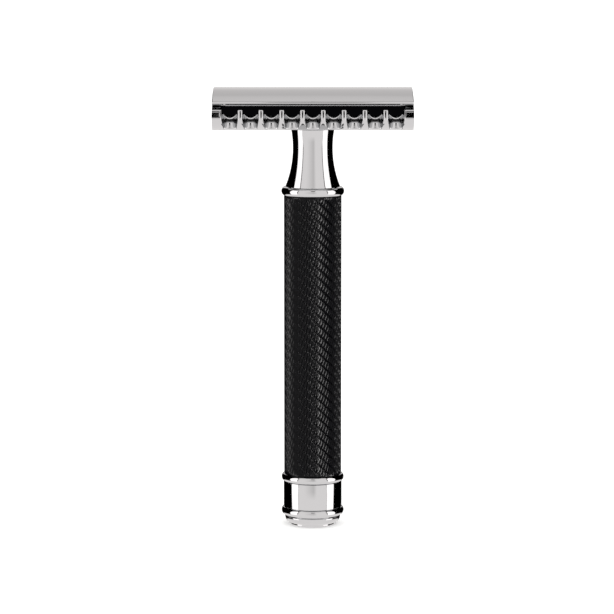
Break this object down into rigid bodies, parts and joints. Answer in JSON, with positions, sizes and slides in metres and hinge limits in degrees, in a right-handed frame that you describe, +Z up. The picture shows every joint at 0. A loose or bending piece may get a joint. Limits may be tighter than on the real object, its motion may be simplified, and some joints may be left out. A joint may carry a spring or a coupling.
{
  "type": "safety razor",
  "caption": "Safety razor with an open-comb head that clamps a curved double-edge blade, a waisted neck, a long round grip and a ringed end collar.",
  "frame": {"origin": "middle of the flat foot that the razor stands on", "axes": "+Z up the handle to the head, X along the blade's edges, Y from one edge to the other"},
  "size_m": [0.0432, 0.0256, 0.0966],
  "materials": {
    "chrome_plate": "mirror-bright chrome plating",
    "blade_steel": "ground stainless blade steel",
    "plain_steel": "turned steel",
    "brass": "turned brass",
    "black_grip": "satin black coating over an engraved wavy pattern",
    "seal_rubber": "moulded black rubber"
  },
  "bodies": {
    "handle": {"neck_ferrule": "chrome_plate", "neck_thread_bush": "brass", "upper_seal_ring": "seal_rubber", "grip_sleeve": "black_grip", "lower_seal_ring": "seal_rubber", "tie_rod": "plain_steel", "end_collar": "chrome_plate", "collar_washer": "plain_steel", "tie_nut": "plain_steel", "end_plug": "chrome_plate"},
    "comb": {"comb_plate": "chrome_plate"},
    "blade": {"razor_blade": "blade_steel"},
    "cap": {"top_cap": "chrome_plate", "cap_stud": "plain_steel", "locating_pin_left": "chrome_plate", "locating_pin_right": "chrome_plate"}
  },
  "joints": [
    {"name": "head_turn", "type": "hinge", "parent": "handle", "child": "comb", "pos_m": [0, 0, 0.0877], "axis": [0, 0, 1], "range_deg": [0, 2880]},
    {"name": "cap_lift", "type": "slide", "parent": "comb", "child": "cap", "axis": [0, 0, 1], "range_m": [0, 0.0064]},
    {"name": "blade_lift", "type": "slide", "parent": "comb", "child": "blade", "axis": [0, 0, 1], "range_m": [0, 0.0032]}
  ],
  "couplings": [
    {"joint": "cap_lift", "follows": "head_turn", "m_per_rad": 0.00012732},
    {"joint": "blade_lift", "follows": "head_turn", "m_per_rad": 0.00006366}
  ]
}
